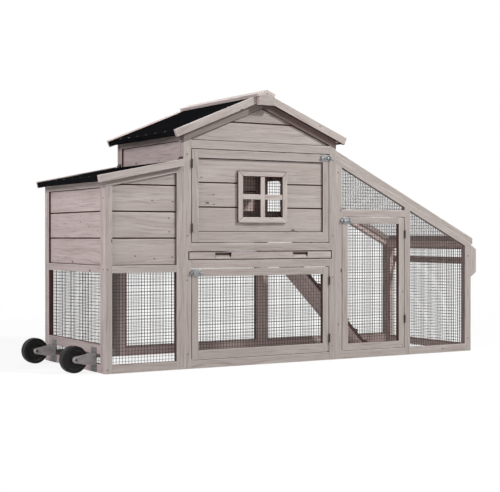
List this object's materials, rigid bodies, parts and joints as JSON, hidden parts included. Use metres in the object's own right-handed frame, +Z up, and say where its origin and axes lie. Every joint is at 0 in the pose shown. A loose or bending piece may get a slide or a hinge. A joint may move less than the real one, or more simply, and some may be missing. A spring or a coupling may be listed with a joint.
{
  "type": "chicken coop on wheels",
  "caption": "Wooden chicken coop on castor wheels with lidded nest, felt-roofed house with window door and droppings tray, sloping wire run, ramp and carrying handle.",
  "frame": {"origin": "on the ground under the middle of the whole object's bounding box", "axes": "+X along the front from the wheels to the handle, +Y from the front to the back, +Z up"},
  "size_m": [1.906, 0.654, 1.0705],
  "materials": {
    "wood": "grey-taupe washed softwood",
    "roof_felt": "black mineral roofing felt",
    "wire": "galvanised welded wire",
    "zinc": "bright zinc plate",
    "castor_steel": "grey zinc-plated steel",
    "wheel": "matt black",
    "tray_sheet": "galvanised sheet"
  },
  "bodies": {
    "coop": {"nest_front_frame": "wood", "nest_back_frame": "wood", "nest_side_frame": "wood", "nest_boards": "wood", "nest_floor": "wood", "nest_divider": "wood", "nest_nets": "wire", "house_front_frame": "wood", "house_back_frame": "wood", "house_left_wall_frame": "wood", "house_right_wall_frame": "wood", "house_gable_boards": "wood", "house_back_boards": "wood", "house_side_boards": "wood", "house_back_net": "wire", "tray_runners": "wood", "perch": "wood", "roof_boards": "wood", "roof_felt": "roof_felt", "barge_boards": "wood", "ridge_cap": "wood", "ridge_blocks": "wood", "run_front_frame": "wood", "run_back_frame": "wood", "run_end_frame": "wood", "run_roof_frame": "wood", "run_wall_nets": "wire", "run_roof_net": "wire", "handle_cheeks": "wood", "handle_bar": "wood", "ramp_board": "wood", "ramp_cleats": "wood", "castor_brackets": "castor_steel", "castor_screws": "zinc", "wheel_axles": "castor_steel", "frame_screws": "zinc", "bolt_keepers": "zinc", "hinge_fixed_leaves": "zinc"},
    "upper_door": {"upper_door_frame": "wood", "upper_door_boards": "wood", "window_frame": "wood", "window_net": "wire", "upper_door_fittings": "zinc"},
    "lower_door": {"lower_door_frame": "wood", "lower_door_net": "wire", "lower_door_fittings": "zinc"},
    "run_door": {"run_door_frame": "wood", "run_door_net": "wire", "run_door_fittings": "zinc"},
    "tray": {"tray_front": "wood", "tray_pan": "tray_sheet"},
    "nest_lid": {"nest_lid_boards": "wood", "nest_lid_felt": "roof_felt", "nest_lid_hinges": "zinc"},
    "front_wheel": {"front_wheel": "wheel"},
    "rear_wheel": {"rear_wheel": "wheel"},
    "upper_bolt": {"upper_bolt": "zinc"},
    "lower_bolt": {"lower_bolt": "zinc"},
    "run_bolt": {"run_bolt": "zinc"}
  },
  "joints": [
    {"name": "upper_door_hinge", "type": "hinge", "parent": "coop", "child": "upper_door", "pos_m": [-0.46475, -0.2975, 0], "axis": [0, 0, -1], "range_deg": [0, 110]},
    {"name": "lower_door_hinge", "type": "hinge", "parent": "coop", "child": "lower_door", "pos_m": [0.16575, -0.2975, 0], "axis": [0, 0, 1], "range_deg": [0, 110]},
    {"name": "run_door_hinge", "type": "hinge", "parent": "coop", "child": "run_door", "pos_m": [0.55375, -0.2975, 0], "axis": [0, 0, 1], "range_deg": [0, 110]},
    {"name": "tray_slide", "type": "slide", "parent": "coop", "child": "tray", "axis": [0, -1, 0], "range_m": [0, 0.48]},
    {"name": "nest_lid_hinge", "type": "hinge", "parent": "coop", "child": "nest_lid", "pos_m": [-0.5035, 0, 0.79084], "axis": [0, 1, 0], "range_deg": [0, 60]},
    {"name": "front_wheel_spin", "type": "hinge", "parent": "coop", "child": "front_wheel", "pos_m": [-0.903, -0.196, 0.0505], "axis": [0, 1, 0], "continuous": true},
    {"name": "rear_wheel_spin", "type": "hinge", "parent": "coop", "child": "rear_wheel", "pos_m": [-0.903, 0.196, 0.0505], "axis": [0, 1, 0], "continuous": true},
    {"name": "upper_bolt_slide", "type": "slide", "parent": "upper_door", "child": "upper_bolt", "axis": [1, 0, 0], "range_m": [0, 0.01]},
    {"name": "lower_bolt_slide", "type": "slide", "parent": "lower_door", "child": "lower_bolt", "axis": [-1, 0, 0], "range_m": [0, 0.01]},
    {"name": "run_bolt_slide", "type": "slide", "parent": "run_door", "child": "run_bolt", "axis": [-1, 0, 0], "range_m": [0, 0.01]}
  ]
}
